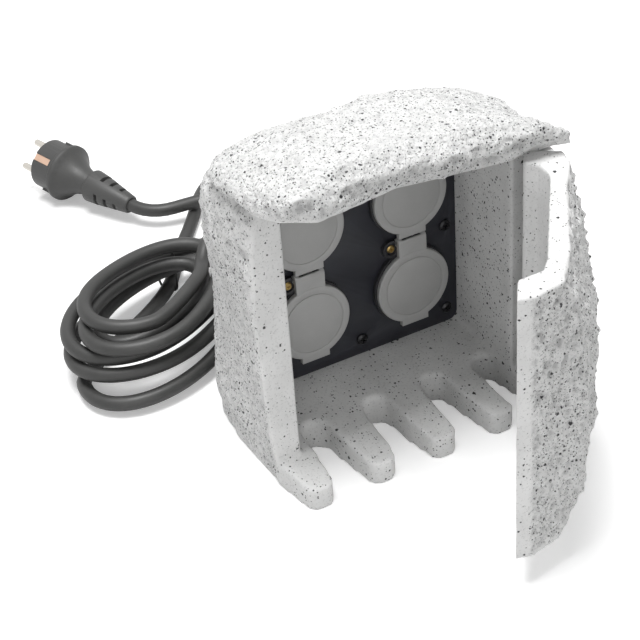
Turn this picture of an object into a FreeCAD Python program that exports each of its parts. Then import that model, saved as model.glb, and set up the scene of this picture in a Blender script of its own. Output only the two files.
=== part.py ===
import FreeCAD, Part
import math
import os

# A garden power outlet cast as a granite boulder, in millimetres.
# X runs to the right along the socket panel, Y runs away from the viewer, Z is up from the ground.
# The lids' outer faces are the plane Y = 0, and the four sockets lie evenly about X = 0.

os.makedirs("parts", exist_ok=True)
Vec = FreeCAD.Vector
X_AXIS, Y_AXIS, Z_AXIS = Vec(1, 0, 0), Vec(0, 1, 0), Vec(0, 0, 1)

# Sockets and panel
COLUMN_X = 34.0
ROW_Z = {"lower": 62.0, "upper": 122.5}
LID_R = 24.0
LID_T = 3.0
FLANGE_FRONT_Y = 3.4
PANEL_Y = 6.0
PANEL_T = 4.0
PANEL_HALF_W = 67.0
PANEL_Z = (24.0, 160.0)
PANEL_CORNER_R = 6.0
GASKET_T = 1.5
SCREW_INSET = 7.5
SCREW_X = PANEL_HALF_W - SCREW_INSET
SCREW_ROWS_Z = (34.0, 92.0, 150.0)
MIDDLE_ROW_Z = SCREW_ROWS_Z[1]
LEDGE_Y = PANEL_Y + PANEL_T + GASKET_T

# Boulder
BAND_Y = -51.0
FIT = 0.4
CAVITY_BACK = {"x": (-PANEL_HALF_W - 1.0, PANEL_HALF_W + 0.6), "z": (PANEL_Z[0] - 0.4, PANEL_Z[1] + 3.0)}
CAVITY_FRONT = {"x": (-PANEL_HALF_W - 7.1, PANEL_HALF_W), "z": (17.9, 180.78)}
ROOF_UNDER_Z = 181.0
TOOTH_TOP_Z = 17.5
TOOTH_TIP_Z = 14.0
TOOTH_TIP_Y = -79.0
TIP_R = 7.0
SLOT_END_R = 8.5
SLOT_END_Y = -30.0
TEETH_X = ((-84.5, -67.5), (-44.5, -27.5), (-4.5, 12.5), (35.0, 52.0), (71.0, 92.0))
SLOTS = ((-56.0, 11.5, -57.0), (-16.0, 11.5, -17.0), (23.75, 11.2, 22.0), (61.5, 9.5, 57.5))

# Door and its hinge
PIVOT = (78.2, -57.0)
DOOR_REST_DEG = 53.5
KNUCKLE_R = 5.5
DOOR_END_U = 166.0
DOOR_WALL = 9.5
DOOR_FOOT_Z = 19.0
DOOR_TOP_Z = 177.5
EAR_TOP_Z = 166.0
EAR_END_U = 25.0
HINGE_PIN_R = 2.5
HINGE_PLAY = 0.05
WASHER_T = DOOR_FOOT_Z - TOOTH_TOP_Z

# Gland, lead and plug
CABLE_R = 4.6
GLAND_X, GLAND_Z = 46.0, 21.0
GLAND_FACE_Y = 86.5
PROTECTOR_END_Y = 124.0


def box(x, y, z):
    """Block between pairs of limits."""
    return Part.makeBox(x[1] - x[0], y[1] - y[0], z[1] - z[0], Vec(x[0], y[0], z[0]))


def rod(start, axis, radius, length):
    """Round bar from a point along an axis."""
    return Part.makeCylinder(radius, length, Vec(*start), axis)


def side_prism(points, x0, x1):
    """Plate over an outline drawn in Y and Z, running along X."""
    wire = Part.makePolygon([Vec(x0, y, z) for y, z in points] + [Vec(x0, points[0][0], points[0][1])])
    return Part.Face(wire).extrude(Vec(x1 - x0, 0, 0))


def turned(profile, start, axis):
    """Solid of revolution from (distance along the axis, radius) pairs, placed on an axis."""
    points = [Vec(r, 0, s) for s, r in profile]
    face = Part.Face(Part.makePolygon(points + [points[0]]))
    solid = face.revolve(Vec(0, 0, 0), Z_AXIS, 360)
    solid.Placement = FreeCAD.Placement(Vec(*start), FreeCAD.Rotation(Z_AXIS, axis))
    return solid


def faceted(rings):
    """Broken-stone solid: closed rings of equal point count, joined by triangles and capped flat."""
    faces = []
    count = len(rings[0])
    for low, high in zip(rings, rings[1:]):
        for i in range(count):
            k = (i + 1) % count
            faces.append(Part.Face(Part.makePolygon([low[i], low[k], high[k], low[i]])))
            faces.append(Part.Face(Part.makePolygon([low[i], high[k], high[i], low[i]])))
    for ring in (rings[0], rings[-1]):
        faces.append(Part.Face(Part.makePolygon(ring + [ring[0]])))
    solid = Part.Solid(Part.makeShell(faces))
    if solid.Volume < 0:
        solid.reverse()
    return solid


def rounded_plate(half_w, z, y, radius):
    """Upright plate with rounded corners between two Y planes."""
    plate = box((-half_w, half_w), y, z)
    upright = [e for e in plate.Edges if abs(e.Vertexes[0].Y - e.Vertexes[-1].Y) > 1e-6]
    return plate.makeFillet(radius, upright)


def export(name, shape):
    """Write one node's file."""
    shape.exportStep("parts/" + name + ".step")
    print(name, "solids", len(shape.Solids), "volume", round(shape.Volume, 1), "valid", shape.isValid())


def group(shapes):
    """Several solids kept apart in one node."""
    return Part.makeCompound(shapes)


# Boulder outline: height, left edge in front, left edge at the back, right edge, back edge
BODY_LEVELS = (
    (0.0, -86.5, -88.0, 98.0, 80.0), (30.0, -91.0, -88.0, 100.0, 82.0), (70.0, -93.0, -83.5, 101.0, 78.0),
    (110.0, -94.0, -87.5, 102.0, 69.0), (150.0, -93.0, -97.0, 98.0, 50.0), (170.0, -90.0, -97.5, 86.0, 31.0),
    (180.0, -86.0, -92.0, 77.0, 18.0), (187.0, -76.0, -84.0, 62.0, 4.0),
)
# Plan shape of a level, as fractions of its width and of its depth behind the band plane
PLAN_SHAPE = (
    (0.0, 0.0), (0.0, 0.2), (0.0, 0.4), (0.02, 0.6), (0.07, 0.8), (0.16, 0.93), (0.32, 1.0), (0.5, 1.0),
    (0.68, 1.0), (0.83, 0.93), (0.93, 0.8), (0.98, 0.6), (1.0, 0.4), (1.0, 0.2), (1.0, 0.0),
    (0.75, 0.0), (0.5, 0.0), (0.25, 0.0),
)
CHIP = 2.0
LEFT_BACK_T = 0.6


def body_ring(level, number):
    """One level of the boulder, each back and side point pushed in or out by a small chip."""
    z, left_front, left_back, right, back = level
    ring = []
    for i, (s, t) in enumerate(PLAN_SHAPE):
        left = left_front + (left_back - left_front) * min(1.0, t / LEFT_BACK_T)
        x = left + s * (right - left)
        y = BAND_Y + t * (back - BAND_Y)
        chip = CHIP * math.sin(1.9 * i + 2.7 * number) if 0 < number and t > 0 else 0.0
        ring.append(Vec(x + chip * (2 * s - 1), y + chip * t, z))
    return ring


# Roof slab: front edge left to right, right side, back right to left, left side back to front
ROOF_RINGS = (
    (ROOF_UNDER_Z, (
        (-85, -71), (-69, -82), (-38, -78), (-21, -75), (6, -80), (41, -86), (58, -81), (79, -89),
        (78, -65), (71, -39), (60, -8), (42, 8), (14, 15), (-20, 19), (-54, 19), (-80, 12),
        (-93, -2), (-97, -20), (-95, -40), (-92, -58))),
    (188.0, (
        (-84, -76), (-68, -83), (-40, -80), (-20, -79), (6, -85), (40, -88), (58, -86), (79, -91),
        (73, -66), (62, -42), (50, -18), (34, -3), (10, 5), (-22, 7), (-56, 8), (-80, 3),
        (-91, -10), (-94, -26), (-92, -44), (-89, -62))),
    (195.0, (
        (-80, -79), (-66, -81), (-44, -80), (-20, -79), (8, -86), (38, -86), (52, -87), (67, -88),
        (56, -62), (46, -42), (43, -27), (28, -14), (6, -4), (-24, -7), (-52, -4), (-72, -6),
        (-82, -20), (-85, -36), (-83, -52), (-83, -66))),
    (203.0, (
        (-56, -70), (-50, -72), (-36, -70), (-18, -69), (6, -74), (26, -76), (31, -76), (34, -74),
        (33, -60), (31, -46), (27, -32), (16, -19), (-2, -12), (-22, -17), (-38, -22), (-48, -24),
        (-54, -32), (-57, -42), (-59, -52), (-60, -62))),
)

# Boss under the roof that holds the upper hinge pin: height and plan outline
HINGE_BOSS = (
    (167.0, ((64, -65), (86, -65), (89, -60), (88, -49), (64, -49))),
    (176.0, ((64, -65), (84, -65), (86, -60), (84, -49), (64, -49))),
    (182.0, ((64, -64), (74, -64), (75, -58), (74, -49), (64, -49))),
)
TOOTH_FLARE = 4.0
TOOTH_ROOT_Y = BAND_Y + 6.0


def tooth(x0, x1):
    """One tooth of the comb, rounded at its tip and widening towards the boulder."""
    tip_y, shoulder_y = TOOTH_TIP_Y, TOOTH_TIP_Y + TIP_R
    slant = TIP_R * (1 - math.sqrt(0.5))
    corners = [Vec(x0 - TOOTH_FLARE, TOOTH_ROOT_Y, 0), Vec(x0, shoulder_y, 0), Vec(x0 + TIP_R, tip_y, 0),
               Vec(x1 - TIP_R, tip_y, 0), Vec(x1, shoulder_y, 0), Vec(x1 + TOOTH_FLARE, TOOTH_ROOT_Y, 0)]
    left_mid = Vec(x0 + slant, tip_y + slant, 0)
    right_mid = Vec(x1 - slant, tip_y + slant, 0)
    edges = [Part.LineSegment(corners[0], corners[1]).toShape(),
             Part.Arc(corners[1], left_mid, corners[2]).toShape(),
             Part.LineSegment(corners[2], corners[3]).toShape(),
             Part.Arc(corners[3], right_mid, corners[4]).toShape(),
             Part.LineSegment(corners[4], corners[5]).toShape(),
             Part.LineSegment(corners[5], corners[0]).toShape()]
    return Part.Face(Part.Wire(edges)).extrude(Vec(0, 0, TOOTH_TOP_Z))


def slot_cutter(front_x, front_half, end_x):
    """Cable slot: open at the front, drawn in to a round end under the cavity."""
    centre_y = SLOT_END_Y - SLOT_END_R
    front_y = TOOTH_TIP_Y - 6.0
    a = Vec(front_x - front_half, front_y, -1)
    b = Vec(end_x - SLOT_END_R, centre_y, -1)
    top = Vec(end_x, SLOT_END_Y, -1)
    c = Vec(end_x + SLOT_END_R, centre_y, -1)
    d = Vec(front_x + front_half, front_y, -1)
    edges = [Part.LineSegment(a, b).toShape(), Part.Arc(b, top, c).toShape(),
             Part.LineSegment(c, d).toShape(), Part.LineSegment(d, a).toShape()]
    return Part.Face(Part.Wire(edges)).extrude(Vec(0, 0, 36.0))


def frustum(x0, z0, y0, x1, z1, y1):
    """Four-sided funnel between two upright rectangles."""
    wires = []
    for x, z, y in ((x0, z0, y0), (x1, z1, y1)):
        corners = [Vec(x[0], y, z[0]), Vec(x[1], y, z[0]), Vec(x[1], y, z[1]), Vec(x[0], y, z[1])]
        wires.append(Part.makePolygon(corners + [corners[0]]))
    return Part.makeLoft(wires, True, True)


CHAMBER_HALF_W = 50.0
CHAMBER_SECTION = ((LEDGE_Y - 1, 42), (62, 42), (62, 70), (56, 100), (42, 124), (32, 142), (LEDGE_Y - 1, 142))
CUP_BORE_R = 23.5
CUP_BORE_DEPTH = 26.0
HATCH = {"x": (-48.0, 48.0), "y": (20.0, 62.0)}
HATCH_RIM = 9.0
HATCH_PLATE_T = 3.0
HATCH_INSET = 1.0
GLAND_POCKET_R = 15.0
GLAND_POCKET_Y = 75.0
GLAND_BORE_R = 10.2
PILOT_R = 1.7
TOP_PIN_TOP_Z = 176.0
TOP_PIN_LOW_Z = 150.0
LOW_PIN_LOW_Z = 7.0
LOW_PIN_TOP_Z = 31.0

sockets = [(side + "_" + row, sign * COLUMN_X, z)
           for row, z in ROW_Z.items() for side, sign in (("left", -1), ("right", 1))]
panel_screw_places = [(x, z) for z in SCREW_ROWS_Z for x in (-SCREW_X, 0.0, SCREW_X)
                      if (x, z) != (0.0, MIDDLE_ROW_Z)]
hatch_screw_places = [(x, y) for x in (-52.5, 52.5) for y in (17.0, 65.0)]


def rock_body():
    """Cast shell: boulder, roof, comb, hinge boss and gland boss, less all its hollows."""
    body = faceted([body_ring(level, i) for i, level in enumerate(BODY_LEVELS)])
    roof = faceted([[Vec(x, y, z) for x, y in outline] for z, outline in ROOF_RINGS])
    boss = faceted([[Vec(x, y, z) for x, y in outline] for z, outline in HINGE_BOSS])
    teeth = [tooth(*limits) for limits in TEETH_X]
    slopes = [side_prism(((BAND_Y, TOOTH_TOP_Z), (-82, TOOTH_TIP_Z - 0.3), (-82, 26), (BAND_Y, 26)), -95, 62),
              side_prism(((-64.5, TOOTH_TOP_Z), (-82, TOOTH_TIP_Z - 0.3), (-82, 26), (-64.5, 26)), 62, 105)]
    comb = teeth[0].fuse(teeth[1:]).cut(slopes)
    gland_boss = rod((GLAND_X, 66, GLAND_Z), Y_AXIS, 18.0, GLAND_FACE_Y - 66)
    rock = body.fuse([roof, boss, comb, gland_boss])

    cavity = frustum(CAVITY_BACK["x"], CAVITY_BACK["z"], PANEL_Y,
                     CAVITY_FRONT["x"], CAVITY_FRONT["z"], BAND_Y - 1.0)
    seat = box((-PANEL_HALF_W - FIT, PANEL_HALF_W + FIT), (PANEL_Y - 0.5, LEDGE_Y),
               (PANEL_Z[0] - FIT, PANEL_Z[1] + FIT))
    chamber = side_prism(CHAMBER_SECTION, -CHAMBER_HALF_W, CHAMBER_HALF_W)
    hatch = box(HATCH["x"], HATCH["y"], (-1, 43))
    hatch_seat = box((HATCH["x"][0] - HATCH_RIM, HATCH["x"][1] + HATCH_RIM),
                     (HATCH["y"][0] - 7, HATCH["y"][1] + 7), (-1, HATCH_INSET + HATCH_PLATE_T))
    cutters = [cavity, seat, chamber, hatch, hatch_seat]
    cutters += [slot_cutter(*slot) for slot in SLOTS]
    cutters += [rod((x, LEDGE_Y - 1, z), Y_AXIS, CUP_BORE_R, CUP_BORE_DEPTH) for _, x, z in sockets]
    cutters += [rod((x, LEDGE_Y - 1, z), Y_AXIS, PILOT_R, 8.5) for x, z in panel_screw_places]
    cutters += [rod((x, y, 3), Z_AXIS, PILOT_R, 12.0) for x, y in hatch_screw_places]
    cutters += [rod((GLAND_X, 55, GLAND_Z), Y_AXIS, GLAND_POCKET_R, GLAND_POCKET_Y - 55),
                rod((GLAND_X, 55, GLAND_Z), Y_AXIS, GLAND_BORE_R, 40.0),
                rod((*PIVOT, LOW_PIN_LOW_Z), Z_AXIS, HINGE_PIN_R, 20.0),
                rod((*PIVOT, 160), Z_AXIS, HINGE_PIN_R, TOP_PIN_TOP_Z - 160)]
    return rock.cut(cutters).removeSplitter()


def door_point(u, v, z):
    """Place in the door's own directions, along it and outwards from it, with the door shut."""
    return Vec(PIVOT[0] - u, PIVOT[1] - v, z)


# Door: height and how far its outer face stands out
DOOR_BULGE = (
    (19.0, 17.5), (22.0, 22.5), (30.0, 26.5), (45.0, 29.5), (60.0, 31.0), (72.0, 33.0), (80.0, 34.0),
    (90.0, 31.5), (108.0, 33.5), (128.0, 30.0), (145.0, 26.5), (160.0, 23.0), (171.0, 20.0),
    (DOOR_TOP_Z, 17.5),
)


def door_outline(bulge):
    """Plan of the door's outside at one height, from its free edge round to the knuckle."""
    full = bulge - 17.5
    return [(DOOR_END_U, -KNUCKLE_R), (DOOR_END_U - 3, min(3.5, bulge)), (DOOR_END_U - 10, min(10.0, bulge)),
            (DOOR_END_U - 17, min(16.4, bulge)), (DOOR_END_U - 26, bulge - 0.25 * max(full, 0)),
            (DOOR_END_U - 48, bulge), (90, bulge), (60, bulge), (35, bulge - 0.1 * max(full, 0)),
            (18, min(bulge, 12 + 0.55 * max(full, 0))), (6, min(bulge, 11.5 + 0.15 * max(full, 0))),
            (-2, 8), (-KNUCKLE_R, 2.0), (-KNUCKLE_R, -1.5), (-3.9, -3.9), (0, -KNUCKLE_R)]


def hollow_outline(bulge):
    """Plan of the door's hollow at one height."""
    inner = bulge - DOOR_WALL
    return [(151.0, -8), (140.0, min(6.3, inner)), (130.0, inner * 0.96), (60, inner), (50, min(8.0, inner)),
            (45, min(5.7, inner)), (40, 2.1), (38.6, -8)]


def rock_door():
    """Cast door: bulging shell with a hollow back, open along its top."""
    chips = []
    for number, (z, bulge) in enumerate(DOOR_BULGE):
        ring = []
        for i, (u, v) in enumerate(door_outline(bulge)):
            chip = 1.3 * math.sin(2.1 * i + 1.7 * number) if 4 <= i <= 9 and number else 0.0
            ring.append(door_point(u, v + chip, z))
        chips.append(ring)
    shell = faceted(chips)
    levels = [(z, bulge) for z, bulge in DOOR_BULGE if z >= 30.0] + [(DOOR_TOP_Z + 6, 17.5)]
    hollow = faceted([[door_point(u, v, z) for u, v in hollow_outline(bulge)] for z, bulge in levels])
    ear_step = box((PIVOT[0] - EAR_END_U, PIVOT[0] + 12), (PIVOT[1] - 45, PIVOT[1] + 12),
                   (EAR_TOP_Z, DOOR_TOP_Z + 12.5))
    holes = [rod((*PIVOT, 15), Z_AXIS, HINGE_PIN_R + HINGE_PLAY, LOW_PIN_TOP_Z + 1 - 15),
             rod((*PIVOT, TOP_PIN_LOW_Z - 1), Z_AXIS, HINGE_PIN_R + HINGE_PLAY, 30)]
    door = shell.cut([hollow, ear_step] + holes).removeSplitter()
    door.rotate(Vec(*PIVOT, 0), Z_AXIS, DOOR_REST_DEG)
    return door


export("rock_body", rock_body())
export("rock_door", rock_door())
export("hinge_pin_lower", rod((*PIVOT, LOW_PIN_LOW_Z), Z_AXIS, HINGE_PIN_R, LOW_PIN_TOP_Z - LOW_PIN_LOW_Z))
export("hinge_pin_upper", rod((*PIVOT, TOP_PIN_LOW_Z), Z_AXIS, HINGE_PIN_R, TOP_PIN_TOP_Z - TOP_PIN_LOW_Z))
washer = rod((*PIVOT, TOOTH_TOP_Z), Z_AXIS, 5.5, WASHER_T)
export("hinge_washer", washer.cut(rod((*PIVOT, TOOTH_TOP_Z), Z_AXIS, HINGE_PIN_R + 0.1, WASHER_T)))

# Socket inserts
CUP_R = 21.8
PANEL_HOLE_R = 22.0
RECESS_R = 19.5
RECESS_DEPTH = 17.5
CUP_FLOOR_Y = FLANGE_FRONT_Y + RECESS_DEPTH
CUP_BACK_Y = CUP_FLOOR_Y + 2.0
CORE_BACK_Y = 33.0
PIN_PITCH = 19.0
PIN_HOLE_R = 2.7
BUSH_R = 3.5
BUSH_LENGTH = 12.5
HINGE_RISE = 31.2
HINGE_Y = LID_T
BARREL_R = 2.8
LUG_R = 2.0
LID_PIN_R = 0.9
NECK_HALF_W = 9.25
LUG_X = (3.4, 6.2)
POCKET_HALF_W = 6.5
FIX_SCREW = (-12.4, 27.6)
FIX_HEAD_R = 2.6
FIX_RECESS_R = 3.6
FIX_SHANK_R = 1.5
BARREL_ROOM_R = BARREL_R + 0.4
SPRING_ROOM_R = 2.0
CLIP_HALF_W = 2.2
CLIP_R = (18.3, 20.3)
TAB_HALF_W = 9.0
TAB_DROP = 25.6
SEAL_R = (20.6, 22.4)
SEAL_DEPTH = 0.9
SEAL_T = 1.15


def socket_insert(xc, zc):
    """Moulded insert: flange, cup with its recess, rear core, screw ear and the two lid lugs."""
    axis_z = zc + HINGE_RISE
    flange = rod((xc, FLANGE_FRONT_Y, zc), Y_AXIS, 25.0, PANEL_Y - FLANGE_FRONT_Y)
    strip = box((xc - 7.0, xc + 7.0), (FLANGE_FRONT_Y, PANEL_Y), (zc + 20, axis_z + LUG_R / 2))
    ear = rod((xc + FIX_SCREW[0], FLANGE_FRONT_Y, zc + FIX_SCREW[1]), Y_AXIS, 5.6, PANEL_Y - FLANGE_FRONT_Y)
    web = box((xc + FIX_SCREW[0], xc), (FLANGE_FRONT_Y, PANEL_Y), (zc + 22, zc + FIX_SCREW[1] + 3))
    lugs = []
    for x0, x1 in ((-LUG_X[1], -LUG_X[0]), LUG_X):
        lugs.append(rod((xc + x0, HINGE_Y, axis_z), X_AXIS, LUG_R, x1 - x0))
        lugs.append(box((xc + x0, xc + x1), (HINGE_Y, FLANGE_FRONT_Y + 1), (axis_z - 1.4, axis_z + 1.4)))
    cup = rod((xc, PANEL_Y - 1, zc), Y_AXIS, CUP_R, CUP_BACK_Y - PANEL_Y + 1)
    core = box((xc - 15, xc + 15), (CUP_BACK_Y - 1, CORE_BACK_Y), (zc - 7, zc + 7))
    solid = flange.fuse([strip, ear, web, cup, core] + lugs)
    cutters = [rod((xc, 0, zc), Y_AXIS, RECESS_R, CUP_FLOOR_Y)]
    for side in (-1, 1):
        x = xc + side * PIN_PITCH / 2
        cutters.append(rod((x, CUP_FLOOR_Y - 1, zc), Y_AXIS, PIN_HOLE_R, 6.0))
        cutters.append(rod((x, CUP_BACK_Y, zc), Y_AXIS, BUSH_R, CORE_BACK_Y))
        clip_z = sorted((zc + side * CLIP_R[0], zc + side * CLIP_R[1]))
        cutters.append(box((xc - CLIP_HALF_W, xc + CLIP_HALF_W), (FLANGE_FRONT_Y + 3, CUP_FLOOR_Y), clip_z))
    cutters.append(rod((xc + FIX_SCREW[0], 0, zc + FIX_SCREW[1]), Y_AXIS, FIX_RECESS_R, FLANGE_FRONT_Y + 1.5))
    cutters.append(rod((xc + FIX_SCREW[0], 0, zc + FIX_SCREW[1]), Y_AXIS, FIX_SHANK_R + 0.1, 10))
    for side in (-1, 1):
        x = sorted((xc + side * (LUG_X[1] + 0.1), xc + side * (NECK_HALF_W + FIT)))
        cutters.append(rod((x[0], HINGE_Y, axis_z), X_AXIS, BARREL_ROOM_R, x[1] - x[0]))
    cutters.append(rod((xc - LUG_X[0], HINGE_Y, axis_z), X_AXIS, SPRING_ROOM_R, 2 * LUG_X[0]))
    cutters.append(rod((xc - 10, HINGE_Y, axis_z), X_AXIS, LID_PIN_R + 0.05, 20))
    return solid.cut(cutters).removeSplitter()


def contact_bushes(xc, zc):
    """Two brass sleeves behind the pin holes, closed at their screw ends."""
    bushes = []
    for side in (-1, 1):
        x = xc + side * PIN_PITCH / 2
        sleeve = rod((x, CUP_BACK_Y, zc), Y_AXIS, BUSH_R - 0.05, BUSH_LENGTH)
        bushes.append(sleeve.cut(rod((x, CUP_BACK_Y, zc), Y_AXIS, 2.45, 9.5)))
    return group(bushes)


def earth_clips(xc, zc):
    """Sprung brass strips at the top and bottom of the recess."""
    clips = []
    for side in (-1, 1):
        outer = zc + side * (CLIP_R[1])
        inner = zc + side * (CLIP_R[1] - 0.8)
        bump = zc + side * (CLIP_R[0] - 1.2)
        y0, y1 = FLANGE_FRONT_Y + 3, CUP_FLOOR_Y
        outline = ((y0, outer), (y1, outer), (y1, inner), (y0 + 9, inner), (y0 + 5, bump), (y0 + 4, bump),
                   (y0 + 1, inner), (y0, inner))
        clips.append(side_prism(outline, xc - 1.9, xc + 1.9))
    return group(clips)


def lid(xc, zc):
    """Round lid with a ring line, a thumb tab below and a neck with its hinge barrel above."""
    axis_z = zc + HINGE_RISE
    disc = turned(((0.5, 0), (0, 0), (0, LID_R - 0.6), (0.6, LID_R), (LID_T, LID_R), (LID_T, 0)),
                  (xc, 0, zc), Y_AXIS)
    neck = box((xc - NECK_HALF_W, xc + NECK_HALF_W), (0.2, LID_T), (zc + 15, axis_z))
    tab = box((xc - TAB_HALF_W, xc + TAB_HALF_W), (0.2, LID_T), (zc - TAB_DROP, zc - 15))
    barrel = rod((xc - NECK_HALF_W, HINGE_Y, axis_z), X_AXIS, BARREL_R, 2 * NECK_HALF_W)
    solid = disc.fuse([neck, tab, barrel])
    ring_line = rod((xc, -1, zc), Y_AXIS, 19.4, 1.4).cut(rod((xc, -1, zc), Y_AXIS, 18.8, 1.4))
    seal_y = LID_T - SEAL_DEPTH
    seal_seat = rod((xc, seal_y, zc), Y_AXIS, SEAL_R[1], 2).cut(rod((xc, seal_y, zc), Y_AXIS, SEAL_R[0], 2))
    pocket = [rod((xc - POCKET_HALF_W, HINGE_Y, axis_z), X_AXIS, LUG_R + 0.15, 2 * POCKET_HALF_W),
              box((xc - POCKET_HALF_W, xc + POCKET_HALF_W), (HINGE_Y - 1.2, 7), (axis_z - 3.2, axis_z + 4)),
              box((xc - POCKET_HALF_W, xc + POCKET_HALF_W), (-1, 7), (axis_z + 1.7, axis_z + 4))]
    bore = rod((xc - 12, HINGE_Y, axis_z), X_AXIS, LID_PIN_R, 24)
    return solid.cut([ring_line, seal_seat, bore] + pocket).removeSplitter()


def lid_seal(xc, zc):
    """Soft ring in the back of a lid."""
    outer = rod((xc, LID_T - SEAL_DEPTH, zc), Y_AXIS, SEAL_R[1], SEAL_T)
    return outer.cut(rod((xc, LID_T - SEAL_DEPTH, zc), Y_AXIS, SEAL_R[0], SEAL_T))


SPRING_WIRE_R = 0.3
SPRING_COIL_R = 1.35
SPRING_TURNS = 6


def lid_spring(xc, zc):
    """Torsion spring round the lid's pin, between the two lugs."""
    pitch = 0.95
    helix = Part.makeHelix(pitch, pitch * SPRING_TURNS, SPRING_COIL_R)
    circle = Part.Wire(Part.Circle(Vec(SPRING_COIL_R, 0, 0), Y_AXIS, SPRING_WIRE_R).toShape())
    spring = Part.Wire(helix).makePipeShell([circle], True, True)
    start = Vec(xc - pitch * SPRING_TURNS / 2, HINGE_Y, zc + HINGE_RISE)
    spring.Placement = FreeCAD.Placement(start, FreeCAD.Rotation(Z_AXIS, X_AXIS))
    return spring


def cross_screw(start, axis, head_r, head_t, shank_r, length):
    """Pan-head screw with a cross recess; the start is the middle of its head's outer face."""
    screw = turned(((0.0, 0), (0.0, head_r * 0.72), (head_t * 0.55, head_r), (head_t, head_r),
                    (head_t, shank_r), (head_t + length - 1.2, shank_r), (head_t + length, shank_r * 0.4),
                    (head_t + length, 0)), (0, 0, 0), Z_AXIS)
    for angle in (0, 90):
        bar = box((-head_r * 0.55, head_r * 0.55), (-0.35, 0.35), (-1, head_t * 0.5))
        bar.rotate(Vec(0, 0, 0), Z_AXIS, angle + 20)
        screw = screw.cut(bar)
    screw.Placement = FreeCAD.Placement(Vec(*start), FreeCAD.Rotation(Z_AXIS, axis))
    return screw


brass_screws = []
for name, xc, zc in sockets:
    export("socket_insert_" + name, socket_insert(xc, zc))
    export("contact_bushes_" + name, contact_bushes(xc, zc))
    export("earth_clips_" + name, earth_clips(xc, zc))
    export("lid_" + name, lid(xc, zc))
    export("lid_seal_" + name, lid_seal(xc, zc))
    pin_start = (xc - NECK_HALF_W, HINGE_Y, zc + HINGE_RISE)
    export("lid_pin_" + name, rod(pin_start, X_AXIS, LID_PIN_R, 2 * NECK_HALF_W))
    export("lid_spring_" + name, lid_spring(xc, zc))
    head_y = FLANGE_FRONT_Y + 0.2
    place = (xc + FIX_SCREW[0], head_y, zc + FIX_SCREW[1])
    brass_screws.append(cross_screw(place, Y_AXIS, FIX_HEAD_R, 1.3, FIX_SHANK_R, 6.4))
export("insert_screws", group(brass_screws))


def socket_panel():
    """Upright panel with four cup holes and its screw holes."""
    plate = rounded_plate(PANEL_HALF_W, PANEL_Z, (PANEL_Y, PANEL_Y + PANEL_T), PANEL_CORNER_R)
    cutters = [rod((x, 0, z), Y_AXIS, PANEL_HOLE_R, 20) for _, x, z in sockets]
    cutters += [rod((x, 0, z), Y_AXIS, 2.2, 20) for x, z in panel_screw_places]
    cutters += [rod((x + FIX_SCREW[0], 0, z + FIX_SCREW[1]), Y_AXIS, FIX_SHANK_R + 0.05, 20)
                for _, x, z in sockets]
    return plate.cut(cutters)


def panel_gasket():
    """Soft sheet frame between the panel and the boulder's ledge."""
    height = (PANEL_Z[0] + 1, PANEL_Z[1] - 1)
    sheet = rounded_plate(PANEL_HALF_W - 1, height, (PANEL_Y + PANEL_T, LEDGE_Y), PANEL_CORNER_R)
    cutters = [rod((x, 0, z), Y_AXIS, CUP_BORE_R, 20) for _, x, z in sockets]
    cutters += [rod((x, 0, z), Y_AXIS, 2.2, 20) for x, z in panel_screw_places]
    cutters += [rod((x + FIX_SCREW[0], 0, z + FIX_SCREW[1]), Y_AXIS, 2.2, 20) for _, x, z in sockets]
    cutters += [box((-CHAMBER_HALF_W, CHAMBER_HALF_W), (0, 20), (43.0, 141.0))]
    return sheet.cut(cutters)


export("socket_panel", socket_panel())
export("panel_gasket", panel_gasket())
HEAD_T = 2.0
export("panel_screws", group([cross_screw((x, PANEL_Y - HEAD_T, z), Y_AXIS, 3.6, HEAD_T, PILOT_R - 0.02, 12.5)
                              for x, z in panel_screw_places]))

# Wiring chamber
hatch_x = (HATCH["x"][0] - HATCH_RIM + FIT, HATCH["x"][1] + HATCH_RIM - FIT)
hatch_y = (HATCH["y"][0] - 7 + FIT, HATCH["y"][1] + 7 - FIT)
hatch_top = HATCH_INSET + HATCH_PLATE_T
hatch_plate = box(hatch_x, hatch_y, (HATCH_INSET, hatch_top))
export("hatch_plate", hatch_plate.cut([rod((x, y, 0), Z_AXIS, 2.0, 6) for x, y in hatch_screw_places]))
export("hatch_screws", group([cross_screw((x, y, HATCH_INSET - 0.8), Z_AXIS, 3.2, 0.8, PILOT_R - 0.02, 10)
                              for x, y in hatch_screw_places]))

BLOCK = {"x": (-20.0, 20.0), "y": (34.0, 50.0), "z": (hatch_top, hatch_top + 14.0)}
block = box(BLOCK["x"], BLOCK["y"], BLOCK["z"])
CORE_R = 1.4
CORE_XS = {"brown": -12.0, "blue": 0.0, "green_yellow": 12.0}
block_cuts = []
for x in CORE_XS.values():
    block_cuts.append(rod((x, 30, hatch_top + 7), Y_AXIS, CORE_R + 0.1, 24))
    block_cuts.append(rod((x, 42, hatch_top + 9), Z_AXIS, 2.2, 8))
export("terminal_block", block.cut(block_cuts))


BEND_SHARE = 0.45


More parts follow.
